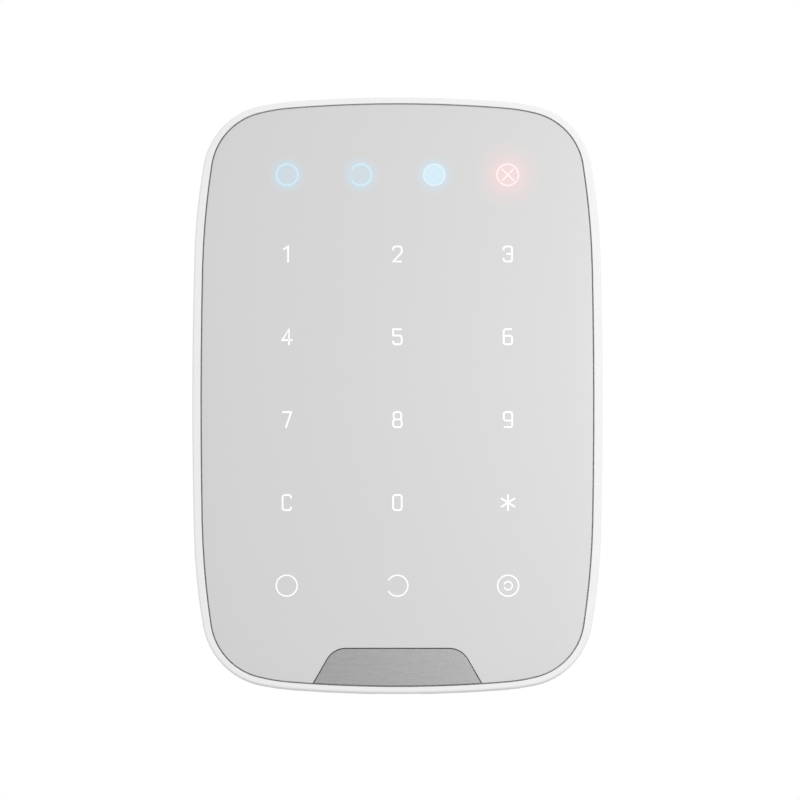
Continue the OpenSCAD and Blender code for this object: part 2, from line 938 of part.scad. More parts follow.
module rear_label() {
    margin = 0.2;
    sunk = 0.02;
    color("lightgray") block(
        [-label_half_w + margin, label_half_w - margin],
        [shell_back + sunk, shell_back + label_t],
        [label_low + margin, label_top - margin]
    );
}

mounting_bracket();
lock_screw();
front_frame();
touch_panel();
badge_plate();
badge_adhesive();
panel_adhesive();
touch_sensor_film();
diffuser_film();
light_baffle();
main_board();
board_screws();
key_leds();
status_leds_blue();
status_led_red();
microcontroller();
touch_controller();
quartz_crystal();
supply_capacitors();
radio_shield();
antenna();
buzzer_disc();
buzzer_ceramic();
buzzer_contacts();
tamper_switch();
tamper_plunger();
tamper_spring();
power_switch();
switch_plunger();
power_button();
battery_upper_left();
battery_lower_left();
battery_upper_right();
battery_lower_right();
battery_springs();
spring_plates();
button_contacts();
battery_foam();
rear_shell();
case_screws();
rear_label();
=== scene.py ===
"""Looks of a slim wall keypad: a white two-part case, a grey touch panel with lit legends, and a blank badge.

Metres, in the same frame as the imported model. The front faces -Y, and a depth is a distance in front of
the wall, so a point at depth d has y = -d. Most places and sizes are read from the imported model's own
boxes. The rest are named values that match the part's source, or details that only the looks have.
"""
import json
import math

import bmesh
import bpy
from mathutils import Matrix, Vector


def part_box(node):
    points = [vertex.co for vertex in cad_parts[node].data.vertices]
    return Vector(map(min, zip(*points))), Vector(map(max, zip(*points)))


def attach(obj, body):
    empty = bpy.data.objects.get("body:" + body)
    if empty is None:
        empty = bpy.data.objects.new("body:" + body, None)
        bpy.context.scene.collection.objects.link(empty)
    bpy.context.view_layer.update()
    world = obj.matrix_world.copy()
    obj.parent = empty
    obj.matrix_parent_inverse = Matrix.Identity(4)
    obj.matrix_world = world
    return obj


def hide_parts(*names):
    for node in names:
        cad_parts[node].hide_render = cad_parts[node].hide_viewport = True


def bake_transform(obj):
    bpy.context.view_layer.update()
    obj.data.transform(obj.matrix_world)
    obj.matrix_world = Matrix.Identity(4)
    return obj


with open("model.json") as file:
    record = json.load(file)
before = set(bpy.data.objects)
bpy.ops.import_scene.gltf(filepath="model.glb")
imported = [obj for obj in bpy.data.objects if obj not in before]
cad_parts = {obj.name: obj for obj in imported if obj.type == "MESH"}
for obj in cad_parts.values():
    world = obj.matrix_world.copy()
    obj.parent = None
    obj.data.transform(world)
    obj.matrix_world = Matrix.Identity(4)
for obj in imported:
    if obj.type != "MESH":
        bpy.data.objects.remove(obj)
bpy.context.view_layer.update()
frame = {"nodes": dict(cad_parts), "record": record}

MM = 0.001
SLOT_OF = {part["node"]: part["material_slot"] for part in frame["record"]["subparts"]}
BODY_OF = {node: body for body, nodes in frame["record"]["behaviour"]["bodies"].items() for node in nodes}


# ---------------------------------------------------------------- sizes

def centre_of(node):
    """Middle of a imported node's box."""
    low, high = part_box(node)
    return (low + high) / 2


def size_of(node):
    """Width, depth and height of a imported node's box."""
    low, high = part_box(node)
    return high - low


# Sizes that the boxes don't give, as in the part's source
PANEL_GAP = 0.3 * MM
LEDGE_T = 1.0 * MM
LEDGE_W = 1.9 * MM
WALL_T = 1.4 * MM
SPLIT_INSET = 0.05 * MM
FLARE_D = 3 * MM
CASE_HEAD_R = 2 * MM
# Half the badge's width at a height near its foot, the radius of its upper corners, and the gap round it
BADGE_HALF_W = 20.95 * MM
BADGE_LOW = -72.5 * MM
BADGE_R = 5.3 * MM
BADGE_GAP = 0.25 * MM

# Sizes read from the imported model
CASE_W = size_of("front_frame").x
CASE_H = size_of("front_frame").z
CASE_FRONT = -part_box("front_frame")[0].y
PANEL_FRONT = -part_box("touch_panel")[0].y
PANEL_BACK = -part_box("touch_panel")[1].y
OPENING_W = size_of("touch_panel").x + PANEL_GAP
OPENING_H = size_of("touch_panel").z + PANEL_GAP
SPLIT = -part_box("rear_shell")[0].y
LEDGE_FRONT = -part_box("panel_adhesive")[1].y

# Edges bent by more than this stay sharp, and faces bent by less count as one flat face
SHARP_EDGE = math.radians(35)
FLAT_ENOUGH = math.radians(0.5)
# Points closer than the first are one point, and edges shorter than the second are dissolved
SAME_PLACE = 0.001 * MM
TINY_EDGE = 0.0002 * MM
# How far a cutting block runs past what it cuts
SPARE = 1 * MM


# ---------------------------------------------------------------- outlines of five arcs a quarter

# Angles of the edge's normal above X where a quarter outline is sampled: long flat arcs need few
QUARTER_SPANS = [(0, 1.5, 4), (1.5, 10, 6), (10, 78.5, 28), (78.5, 85.7, 5), (85.7, 90, 6)]
NORMALS = [
    math.radians(start + (end - start) * k / pieces)
    for start, end, pieces in QUARTER_SPANS
    for k in range(pieces)
] + [math.radians(90)]


class Outline:
    """A closed outline with a long flat arc on each side and a round corner between blending arcs.

    Turns are the angles of the edge's normal above X where the five arcs of a quarter meet. Blends are
    the radii of the arcs below and above the corner and of the end arc; the other two follow from the size.
    """

    def __init__(self, width, height, turns, blends):
        self.turns = [math.radians(t) for t in turns]
        run = [math.cos(a) - math.cos(b) for a, b in zip(self.turns, self.turns[1:])]
        rise = [math.sin(b) - math.sin(a) for a, b in zip(self.turns, self.turns[1:])]
        beside, above, end = blends
        x = width / 2 - beside * run[1] - above * run[3] - end * run[4]
        z = height / 2 - beside * rise[1] - above * rise[3] - end * rise[4]
        share = run[0] * rise[2] - run[2] * rise[0]
        side = (x * rise[2] - z * run[2]) / share
        corner = (z * run[0] - x * rise[0]) / share
        self.radii = [side, beside, corner, above, end]
        self.run = run
        self.rise = rise

    def point(self, angle, inset=0.0):
        """Point of the upper right quarter where the normal has that angle."""
        radii = [r - inset for r in self.radii]
        arc = max(i for i in range(5) if i == 0 or angle >= self.turns[i])
        x = radii[arc] * (math.cos(angle) - math.cos(self.turns[arc + 1]))
        x += sum(radii[j] * self.run[j] for j in range(arc + 1, 5))
        z = radii[arc] * (math.sin(angle) - math.sin(self.turns[arc]))
        z += sum(radii[j] * self.rise[j] for j in range(arc))
        return x, z

    def ring(self, inset=0.0, depth=0.0):
        """The whole outline as a list of points at one depth."""
        quarter = [self.point(angle, inset) for angle in NORMALS]
        last = len(quarter) - 1
        points = []
        for side, end in ((1, 1), (-1, 1), (-1, -1), (1, -1)):
            for k in range(last):
                x, z = quarter[k] if side == end else quarter[last - k]
                points.append(Vector((side * x, -depth, end * z)))
        return points


CASE = Outline(CASE_W, CASE_H, turns=[0, 1.5, 10, 78.5, 85.7, 90], blends=[157 * MM, 67 * MM, 348 * MM])
OPENING = Outline(
    OPENING_W, OPENING_H, turns=[0, 1.1, 8.7, 75.7, 85.3, 90], blends=[204 * MM, 46.7 * MM, 332 * MM],
)


# ---------------------------------------------------------------- mesh helpers

def shade(mesh):
    """Smooth shading, except at sharp edges."""
    mesh.polygons.foreach_set("use_smooth", [True] * len(mesh.polygons))
    mesh.set_sharp_from_angle(angle=SHARP_EDGE)


def mesh_object(name, bm):
    """A new object from a bmesh, with its faces turned outwards."""
    bmesh.ops.recalc_face_normals(bm, faces=bm.faces)
    mesh = bpy.data.meshes.new(name)
    bm.to_mesh(mesh)
    bm.free()
    shade(mesh)
    obj = bpy.data.objects.new(name, mesh)
    bpy.context.scene.collection.objects.link(obj)
    return obj


def skin(bm, rows, closed=False):
    """Faces between rows of points: round each row, and from the last row to the first if closed."""
    rings = [[bm.verts.new(p) for p in row] for row in rows]
    pairs = list(zip(rings, rings[1:]))
    if closed:
        pairs.append((rings[-1], rings[0]))
    else:
        bm.faces.new(rings[0])
        bm.faces.new(rings[-1])
    for one, other in pairs:
        for k in range(len(one)):
            n = (k + 1) % len(one)
            bm.faces.new((one[k], one[n], other[n], other[k]))


def lofted(name, rows, closed=False):
    """An object made of faces between rows of points."""
    bm = bmesh.new()
    skin(bm, rows, closed)
    return mesh_object(name, bm)


def combine(obj, tools, operation):
    """Joins, cuts or intersects obj with other objects, which are then removed."""
    for tool in tools:
        step = obj.modifiers.new("combine", "BOOLEAN")
        step.operation = operation
        step.solver = "EXACT"
        step.object = tool
    evaluated = obj.evaluated_get(bpy.context.evaluated_depsgraph_get())
    bm = bmesh.new()
    bm.from_mesh(evaluated.data)
    bmesh.ops.dissolve_degenerate(bm, edges=bm.edges, dist=TINY_EDGE)
    mesh = bpy.data.meshes.new(obj.name)
    bm.to_mesh(mesh)
    bm.free()
    obj.modifiers.clear()
    obj.data = mesh
    shade(mesh)
    for tool in tools:
        bpy.data.objects.remove(tool)
    return obj


def soften(obj, radius, sharp=30):
    """Rounds every edge sharper than that many degrees, once flat neighbours are merged."""
    bm = bmesh.new()
    bm.from_mesh(obj.data)
    bmesh.ops.remove_doubles(bm, verts=bm.verts, dist=SAME_PLACE)
    bmesh.ops.dissolve_limit(bm, angle_limit=FLAT_ENOUGH, verts=bm.verts, edges=bm.edges)
    edges = [e for e in bm.edges if len(e.link_faces) == 2 and e.calc_face_angle() > math.radians(sharp)]
    bmesh.ops.bevel(
        bm, geom=edges, offset=radius, offset_type="OFFSET", segments=2,
        profile=0.5, affect="EDGES", clamp_overlap=False,
    )
    name = obj.name
    bpy.data.objects.remove(obj)
    return mesh_object(name, bm)


def copy_of(node):
    """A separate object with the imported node's shape."""
    obj = bpy.data.objects.new(node + "_finish", frame["nodes"][node].data.copy())
    bpy.context.scene.collection.objects.link(obj)
    return obj


def disc_points(centre, radius, depth, count):
    """Points of a circle in X and Z, at one depth."""
    turns = [2 * math.pi * k / count for k in range(count)]
    x, z = centre
    return [Vector((x + radius * math.cos(a), -depth, z + radius * math.sin(a))) for a in turns]


def turned(name, centre, profile, count=48, closed=False):
    """Body of revolution about a line along Y: the profile is a list of radius and depth."""
    return lofted(name, [disc_points(centre, r, d, count) for r, d in profile], closed)


def box_between(name, low, high):
    """A box given by its lowest and highest corners."""
    around = [(low[0], low[2]), (high[0], low[2]), (high[0], high[2]), (low[0], high[2])]
    return lofted(name, [[Vector((x, y, z)) for x, z in around] for y in (low[1], high[1])])


def joined(name, objects):
    """One object that holds the meshes of several."""
    bm = bmesh.new()
    for obj in objects:
        bm.from_mesh(obj.data)
        bpy.data.objects.remove(obj)
    return mesh_object(name, bm)


def wear(obj, slot):
    """Gives obj a slot's material, with its flat faces shaded flat."""
    obj.data.materials.clear()
    obj.data.materials.append(MATERIALS[slot])
    flat = obj.modifiers.new("flat_faces", "WEIGHTED_NORMAL")
    flat.keep_sharp = True
    return obj


def dress(obj, body, slot):
    """Makes obj ride with a body and wear a slot's material."""
    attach(obj, body)
    return wear(obj, slot)


def show(obj, node):
    """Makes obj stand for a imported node."""
    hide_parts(node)
    return dress(obj, BODY_OF[node], SLOT_OF[node])


# ---------------------------------------------------------------- shader helpers

def add_node(tree, kind, **values):
    """A node with properties set by name and inputs set by their labels."""
    node = tree.nodes.new(kind)
    for key, value in values.items():
        if hasattr(node, key):
            setattr(node, key, value)
        else:
            node.inputs[key.replace("_", " ")].default_value = value
    return node


def object_coordinates(tree, scale=(1, 1, 1)):
    """Coordinates that stay with the piece, stretched by a scale along each axis."""
    coordinates = add_node(tree, "ShaderNodeTexCoord")
    mapping = add_node(tree, "ShaderNodeMapping")
    mapping.inputs["Scale"].default_value = scale
    tree.links.new(coordinates.outputs["Object"], mapping.inputs["Vector"])
    return mapping.outputs["Vector"]


def noise(tree, vector, scale, detail=3.0, roughness=0.55):
    """Cloudy factor whose features are about as large as one over the scale."""
    node = add_node(tree, "ShaderNodeTexNoise", Scale=scale, Detail=detail, Roughness=roughness)
    tree.links.new(vector, node.inputs["Vector"])
    return node.outputs["Fac"]


def spread(tree, factor, low, high):
    """Maps the middle half of a factor, where noise mostly lies, onto a range."""
    node = add_node(tree, "ShaderNodeMapRange")
    node.inputs["From Min"].default_value = 0.25
    node.inputs["From Max"].default_value = 0.75
    node.inputs["To Min"].default_value = low
    node.inputs["To Max"].default_value = high
    tree.links.new(factor, node.inputs["Value"])
    return node.outputs["Result"]


def mix_colour(tree, factor, first, second, blend="MIX"):
    """Mixes two colours, each of which is a tuple or another node's output."""
    # A Mix node takes colours at its inputs 6 and 7 and gives one at its output 2
    node = add_node(tree, "ShaderNodeMix", data_type="RGBA", blend_type=blend)
    for value, socket in ((factor, node.inputs[0]), (first, node.inputs[6]), (second, node.inputs[7])):
        if isinstance(value, (int, float)):
            socket.default_value = value
        elif isinstance(value, tuple):
            socket.default_value = (*value, 1.0)
        else:
            tree.links.new(value, socket)
    return node.outputs[2]


def calculated(tree, operation, first, second):
    """Result of an operation on a node's output and either a number or another node's output."""
    node = add_node(tree, "ShaderNodeMath", operation=operation)
    tree.links.new(first, node.inputs[0])
    if isinstance(second, float):
        node.inputs[1].default_value = second
    else:
        tree.links.new(second, node.inputs[1])
    return node.outputs[0]


def bump(tree, height, depth):
    """Relief that is that deep."""
    node = add_node(tree, "ShaderNodeBump", Strength=1.0, Distance=depth)
    tree.links.new(height, node.inputs["Height"])
    return node.outputs["Normal"]


def shades(colour, amount):
    """A darker and a lighter tone of one colour."""
    return tuple(c * (1 - amount) for c in colour), tuple(min(1.0, c * (1 + amount)) for c in colour)


def blank_material(name):
    """A new material, its node tree and its shader."""
    material = bpy.data.materials.new(name)
    material.use_nodes = True
    tree = material.node_tree
    return material, tree, tree.nodes["Principled BSDF"]


def plastic(name, colour, rough, grain_size, grain_depth):
    """Moulded plastic: spark-eroded grain, a slow mottle, and roughness that wanders a little."""
    material, tree, shader = blank_material(name)
    mottle = 0.012
    wander = 0.05
    vector = object_coordinates(tree)
    slow = noise(tree, vector, 1 / (18 * MM), 2)
    fine = noise(tree, vector, 1 / grain_size, 4)
    tree.links.new(mix_colour(tree, slow, *shades(colour, mottle)), shader.inputs["Base Color"])
    tree.links.new(spread(tree, fine, rough - wander, rough + wander), shader.inputs["Roughness"])
    tree.links.new(bump(tree, fine, grain_depth), shader.inputs["Normal"])
    return material


def metal(name, colour, rough, brush=(1, 1, 1), grain_size=0.3 * MM, grain_depth=0.002 * MM, mottle=0.06):
    """Metal with brush lines along the axis whose scale is smallest."""
    material, tree, shader = blank_material(name)
    wander = 0.07
    lines = noise(tree, object_coordinates(tree, brush), 1 / grain_size, 3, 0.6)
    slow = noise(tree, object_coordinates(tree), 1 / (4 * MM), 2)
    tone = mix_colour(tree, lines, *shades(colour, mottle))
    tree.links.new(mix_colour(tree, slow, tone, tuple(colour)), shader.inputs["Base Color"])
    tree.links.new(spread(tree, lines, rough - wander, rough + wander), shader.inputs["Roughness"])
    tree.links.new(bump(tree, lines, grain_depth), shader.inputs["Normal"])
    shader.inputs["Metallic"].default_value = 1.0
    return material


def lit(name, colour, glow, strength):
    """Translucent pale window or LED, lit from behind."""
    material, tree, shader = blank_material(name)
    rough, wander = 0.45, 0.05
    cloud = noise(tree, object_coordinates(tree), 1 / (0.8 * MM), 3)
    tree.links.new(mix_colour(tree, cloud, *shades(colour, 0.03)), shader.inputs["Base Color"])
    tree.links.new(spread(tree, cloud, rough - wander, rough + wander), shader.inputs["Roughness"])
    shader.inputs["Emission Color"].default_value = (*glow, 1.0)
    shader.inputs["Emission Strength"].default_value = strength
    return material


def blue_light_material():
    """Pale blue windows; the one with the disc is a little whiter at its rim and round its middle."""
    material = lit("led_blue", (0.46, 0.52, 0.55), BLUE_GLOW, 0.31)
    tree = material.node_tree
    pale = halo(tree, object_coordinates(tree), (BLUE_X[2], 0, STATUS_Z), DISC_TONES)
    glow = mix_colour(tree, pale, BLUE_GLOW, PALE_GLOW)
    tree.links.new(glow, tree.nodes["Principled BSDF"].inputs["Emission Color"])
    return material


def halo(tree, vector, centre, stops):
    """Strength of a glow by distance from a light behind the panel: stops are radii in mm and strengths."""
    offset = add_node(tree, "ShaderNodeVectorMath", operation="SUBTRACT")
    offset.inputs[1].default_value = centre
    flat = add_node(tree, "ShaderNodeVectorMath", operation="MULTIPLY")
    flat.inputs[1].default_value = (1, 0, 1)
    distance = add_node(tree, "ShaderNodeVectorMath", operation="LENGTH")
    reach = stops[-1][0] * MM
    ramp = add_node(tree, "ShaderNodeValToRGB")
    ramp.color_ramp.interpolation = "EASE"
    points = ramp.color_ramp.elements
    while len(points) < len(stops):
        points.new(0.5)
    for point, (radius, strength) in zip(points, stops):
        point.position = radius * MM / reach
        point.color = (strength, strength, strength, 1.0)
    tree.links.new(vector, offset.inputs[0])
    tree.links.new(offset.outputs["Vector"], flat.inputs[0])
    tree.links.new(flat.outputs["Vector"], distance.inputs[0])
    tree.links.new(calculated(tree, "DIVIDE", distance.outputs["Value"], reach), ramp.inputs["Fac"])
    return ramp.outputs["Color"]


# ---------------------------------------------------------------- places of the lights behind the panel

def led_places(node, led_size, columns):
    """X of each column of a regular group of LEDs, and Z of its lowest and highest row."""
    low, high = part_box(node)
    first = low + led_size / 2
    last = high - led_size / 2
    return [first.x + (last.x - first.x) * k / (columns - 1) for k in range(columns)], first.z, last.z


KEY_LED = Vector((1.6 * MM, 0, 0.8 * MM))
KEY_X, KEY_LOW, KEY_TOP = led_places("key_leds", KEY_LED, 3)
KEY_ROWS = 5
KEY_Z = [KEY_TOP + (KEY_LOW - KEY_TOP) * k / (KEY_ROWS - 1) for k in range(KEY_ROWS)]
STATUS_LED = Vector((2 * MM, 0, 1.25 * MM))
BLUE_X, STATUS_Z, _ = led_places("status_leds_blue", STATUS_LED, 3)
RED_X = centre_of("status_led_red").x

# Glow round the status lights, and where the disc's window is paler: distance in millimetres, strength
RING_GLOW = [(0, 0.6), (1.5, 0.9), (2.4, 1.5), (3.1, 0.95), (3.8, 0.45), (5.0, 0.0)]
DISC_GLOW = [(0, 1.5), (2.4, 1.5), (3.1, 1.1), (3.8, 0.5), (4.6, 0.12), (5.4, 0.0)]
DISC_TONES = [(0, 0.0), (0.7, 0.0), (1.1, 0.35), (1.5, 0.0), (2.3, 0.0), (2.6, 1.0), (2.9, 1.0), (3.2, 0.0)]
RED_GLOW = [(0, 1.15), (2.0, 0.95), (3.0, 0.78), (4.2, 0.56), (6.0, 0.24), (9.5, 0.0)]


# ---------------------------------------------------------------- materials

BLACK = (0.0, 0.0, 0.0)
PANEL_GREY = (0.551, 0.55, 0.55)
# Painted glow: the panel's base colour where the blue status lights' glow falls, which also dims its red
PANEL_GLOW_TINT = (0.511, 0.54, 0.55)
BLUE_LIGHT = (0.0, 0.065, 0.115)
RED_LIGHT = (0.22, 0.012, 0.012)
BLUE_GLOW = (0.4, 0.75, 1.0)
PALE_GLOW = (0.75, 0.9, 1.0)


def panel_material():
    """Satin grey panel, with the glow of the status lights painted into its base colour and emission."""
    material, tree, shader = blank_material("panel_grey")
    vector = object_coordinates(tree)
    slow = noise(tree, vector, 1 / (30 * MM), 2)
    fine = noise(tree, vector, 1 / (0.12 * MM), 3)
    colour = mix_colour(tree, slow, *shades(PANEL_GREY, 0.006))
    glow = mix_colour(tree, halo(tree, vector, (RED_X, 0, STATUS_Z), RED_GLOW), BLACK, RED_LIGHT)
    for x, stops in zip(BLUE_X, (RING_GLOW, RING_GLOW, DISC_GLOW)):
        strength = halo(tree, vector, (x, 0, STATUS_Z), stops)
        # Painted glow: the base colour turns bluish as far as the blue light's glow reaches
        colour = mix_colour(tree, strength, colour, PANEL_GLOW_TINT)
        glow = mix_colour(tree, 1.0, glow, mix_colour(tree, strength, BLACK, BLUE_LIGHT), "ADD")
    tree.links.new(colour, shader.inputs["Base Color"])
    tree.links.new(glow, shader.inputs["Emission Color"])
    shader.inputs["Emission Strength"].default_value = 1.0
    tree.links.new(spread(tree, fine, 0.33, 0.37), shader.inputs["Roughness"])
    shader.inputs["Coat Weight"].default_value = 1.0
    shader.inputs["Coat Roughness"].default_value = 0.35
    tree.links.new(bump(tree, fine, 0.0008 * MM), shader.inputs["Normal"])
    return material


def jacket_material():
    """Printed film of a cell: dark, with a copper band at the end that has the nub."""
    material, tree, shader = blank_material("cell_jacket")
    place = add_node(tree, "ShaderNodeTexCoord")
    height = add_node(tree, "ShaderNodeSeparateXYZ")
    tree.links.new(place.outputs["Generated"], height.inputs["Vector"])
    band_start = 0.76
    band = calculated(tree, "GREATER_THAN", height.outputs["Z"], band_start)
    flow = noise(tree, object_coordinates(tree), 1 / (2.5 * MM), 2)
    dark = mix_colour(tree, flow, (0.02, 0.022, 0.026), (0.024, 0.026, 0.031))
    copper = mix_colour(tree, flow, (0.55, 0.285, 0.14), (0.59, 0.31, 0.155))
    tree.links.new(mix_colour(tree, band, dark, copper), shader.inputs["Base Color"])
    tree.links.new(spread(tree, flow, 0.24, 0.3), shader.inputs["Roughness"])
    shader.inputs["Metallic"].default_value = 0.7
    shader.inputs["Coat Weight"].default_value = 0.5
    shader.inputs["Coat Roughness"].default_value = 0.15
    return material


def board_material():
    """Green solder mask over patches of parallel tracks and small vias, which show through it paler."""
    material, tree, shader = blank_material("board_green")
    place = object_coordinates(tree)
    tracks = add_node(tree, "ShaderNodeTexBrick", offset=0.37, offset_frequency=3)
    tracks.inputs["Scale"].default_value = 1.0
    tracks.inputs["Brick Width"].default_value = 31 * MM
    tracks.inputs["Row Height"].default_value = 0.9 * MM
    tracks.inputs["Mortar Size"].default_value = 0.13 * MM
    tracks.inputs["Mortar Smooth"].default_value = 0.1
    turned_up = add_node(tree, "ShaderNodeMapping")
    turned_up.inputs["Rotation"].default_value = (math.radians(90), 0, 0)
    tree.links.new(place, turned_up.inputs["Vector"])
    tree.links.new(turned_up.outputs["Vector"], tracks.inputs["Vector"])
    patches = noise(tree, object_coordinates(tree, (1, 1, 0.4)), 1 / (16 * MM), 1)
    patch_edge = 0.52
    tracked = calculated(tree, "GREATER_THAN", patches, patch_edge)
    spots = add_node(tree, "ShaderNodeTexVoronoi", Scale=1 / (4.5 * MM))
    tree.links.new(place, spots.inputs["Vector"])
    via_size = 0.09
    vias = calculated(tree, "LESS_THAN", spots.outputs["Distance"], via_size)
    lines = calculated(tree, "MULTIPLY", tracks.outputs["Fac"], tracked)
    relief = calculated(tree, "MAXIMUM", lines, vias)
    cloud = noise(tree, place, 1 / (6 * MM), 3)
    mask = mix_colour(tree, cloud, (0.012, 0.115, 0.045), (0.016, 0.14, 0.06))
    tone = mix_colour(tree, relief, mask, (0.03, 0.21, 0.085))
    tree.links.new(tone, shader.inputs["Base Color"])
    tree.links.new(spread(tree, cloud, 0.3, 0.38), shader.inputs["Roughness"])
    tree.links.new(bump(tree, relief, 0.02 * MM), shader.inputs["Normal"])
    shader.inputs["Coat Weight"].default_value = 0.4
    shader.inputs["Coat Roughness"].default_value = 0.2
    return material


# Moulded and coated surfaces: colour, roughness, and the grain's size and depth in millimetres
PLASTICS = {
    "case_white": ((0.76, 0.76, 0.757), 0.5, 0.12, 0.0015),
    "bracket_white": ((0.76, 0.758, 0.745), 0.55, 0.25, 0.006),
    "tape_dark": ((0.05, 0.05, 0.05), 0.7, 0.2, 0.01),
    "film_amber": ((0.62, 0.36, 0.12), 0.3, 0.3, 0.001),
    "film_milky": ((0.82, 0.83, 0.83), 0.5, 0.3, 0.001),
    "baffle_white": ((0.84, 0.84, 0.82), 0.5, 0.2, 0.004),
    "chip_black": ((0.02, 0.02, 0.022), 0.5, 0.1, 0.003),
    "capacitor_ochre": ((0.62, 0.34, 0.06), 0.4, 0.1, 0.002),
    "ceramic_cream": ((0.78, 0.74, 0.62), 0.6, 0.1, 0.002),
    "switch_red": ((0.55, 0.05, 0.03), 0.4, 0.2, 0.002),
    "button_grey": ((0.5, 0.5, 0.51), 0.5, 0.15, 0.004),
    "foam_grey": ((0.2, 0.2, 0.21), 0.9, 0.3, 0.08),
    "label_silver": ((0.62, 0.62, 0.63), 0.35, 0.2, 0.001),
}

# Bare metals: colour and roughness
METALS = {
    "contact_nickel": ((0.7, 0.68, 0.63), 0.25),
    "zinc_steel": ((0.6, 0.61, 0.62), 0.3),
    "brass_gold": ((0.83, 0.6, 0.25), 0.25),
}


def make_materials():
    """One material for each slot of the record."""
    made = {
        "panel_grey": panel_material(),
        "board_green": board_material(),
        "cell_jacket": jacket_material(),
        "badge_metal": metal(
            "badge_metal", (0.285, 0.285, 0.287), 0.28,
            brush=(30, 400, 400), grain_size=100 * MM, grain_depth=0.0008 * MM, mottle=0.02,
        ),
        "led_white": lit("led_white", (0.7, 0.7, 0.7), (1.0, 1.0, 1.0), 0.26),
        "led_blue": blue_light_material(),
        "led_red": lit("led_red", (0.55, 0.5, 0.5), (1.0, 0.75, 0.75), 0.42),
    }
    for slot, (colour, rough, grain_size, grain_depth) in PLASTICS.items():
        made[slot] = plastic(slot, colour, rough, grain_size * MM, grain_depth * MM)
    for slot, (colour, rough) in METALS.items():
        made[slot] = metal(slot, colour, rough)
    return made


MATERIALS = make_materials()


# ---------------------------------------------------------------- camera, light and floor

def add_camera():
    """Long lens, a little below the keypad and looking up at it."""
    distance = 2.2
    view_width = 200.85 * MM
    sensor = 36.0
    tilt = math.radians(-4.3)
    aim = Vector((0.65 * MM, -CASE_FRONT, -1.41 * MM))
    data = bpy.data.cameras.new("camera")
    data.sensor_width = sensor
    data.lens = sensor * distance / view_width
    data.clip_start = 0.1
    data.clip_end = 20
    camera = bpy.data.objects.new("camera", data)
    back = Vector((0, -math.cos(tilt), math.sin(tilt)))
    camera.location = aim + back * distance
    camera.rotation_mode = "QUATERNION"
    camera.rotation_quaternion = (-back).to_track_quat("-Z", "Y")
    bpy.context.scene.collection.objects.link(camera)
    bpy.context.scene.camera = camera


def add_area_light(name, place, target, size, power):
    """A round soft light that the camera doesn't see."""
    data = bpy.data.lights.new(name, "AREA")
    data.shape = "DISK"
    data.size = size
    data.energy = power
    light = bpy.data.objects.new(name, data)
    light.location = place
    light.rotation_mode = "QUATERNION"
    light.rotation_quaternion = (Vector(target) - Vector(place)).to_track_quat("-Z", "Y")
    light.visible_camera = False
    bpy.context.scene.collection.objects.link(light)


def add_surroundings():
    """White all round, two soft lights from the right, and a pale floor well below the keypad."""
    world = bpy.data.worlds.new("studio")
    world.use_nodes = True
    world.node_tree.nodes["Background"].inputs["Color"].default_value = (1, 1, 1, 1)
    world.node_tree.nodes["Background"].inputs["Strength"].default_value = 1.0
    bpy.context.scene.world = world
    bpy.context.scene.view_settings.view_transform = "Standard"
    add_area_light("key", place=(0.24, -0.3, 0.07), target=(0.02, 0, 0.01), size=0.14, power=0.25)
    add_area_light("card", place=(0.16, -0.75, 0.05), target=(0, 0, 0), size=0.2, power=0.62)
    floor_z = -0.25
    half = 2.0
    bm = bmesh.new()
    corners = [(-half, -half), (half, -half), (half, half), (-half, half)]
    bm.faces.new([bm.verts.new((x, y, floor_z)) for x, y in corners])
    floor = mesh_object("floor", bm)
    floor.data.materials.append(plastic("floor_pale", (0.66, 0.66, 0.66), 0.8, 4 * MM, 0.05 * MM))


# ---------------------------------------------------------------- case

def quarter_round(inset, depth, radius, steps):
    """Inset and depth of points round an outer edge, from the side to the front."""
    turns = [math.pi / 2 * k / steps for k in range(steps + 1)]
    return [(inset + radius * (1 - math.cos(a)), depth - radius * (1 - math.sin(a))) for a in turns]


def screw_centres(node, head_r):
    """Centres of a node's four screws, as X and Z."""
    low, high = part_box(node)
    return [(x, z) for x in (low.x + head_r, high.x - head_r) for z in (low.z + head_r, high.z - head_r)]


def make_front_frame():
    """White rim with rounded edges, side wall, ledge for the panel and four posts."""
    bull = 0.5 * MM
    lip = 0.14 * MM
    edge_gap = PANEL_GAP / 2
    ease = 0.12 * MM
    ledge_back = LEDGE_FRONT - LEDGE_T
    inner = SPLIT_INSET + WALL_T
    flare = [(SPLIT_INSET * (1 - t) ** 2, SPLIT + FLARE_D * t) for t in (0.05, 0.25, 0.5, 0.75, 1.0)]
    rows = [CASE.ring(SPLIT_INSET + ease, SPLIT)]
    rows += [CASE.ring(inset, depth) for inset, depth in flare]
    rows += [CASE.ring(inset, depth) for inset, depth in quarter_round(0, CASE_FRONT, bull, 7)]
    lip_points = reversed(quarter_round(edge_gap, CASE_FRONT, lip, 4))
    rows += [OPENING.ring(-inset, depth) for inset, depth in lip_points]
    rows.append(OPENING.ring(-edge_gap, LEDGE_FRONT))
    rows.append(OPENING.ring(LEDGE_W - ease, LEDGE_FRONT))
    rows.append(OPENING.ring(LEDGE_W, LEDGE_FRONT - ease))
    rows.append(OPENING.ring(LEDGE_W, ledge_back))
    rows.append(CASE.ring(inner, ledge_back))
    rows.append(CASE.ring(inner, SPLIT + ease))
    rows.append(CASE.ring(inner - ease, SPLIT))
    obj = lofted("front_frame_finish", rows, closed=True)
    places = screw_centres("case_screws", CASE_HEAD_R)
    posts = [turned("post", place, post_profile(), closed=True) for place in places]
    combine(obj, posts, "UNION")
    show(obj, "front_frame")


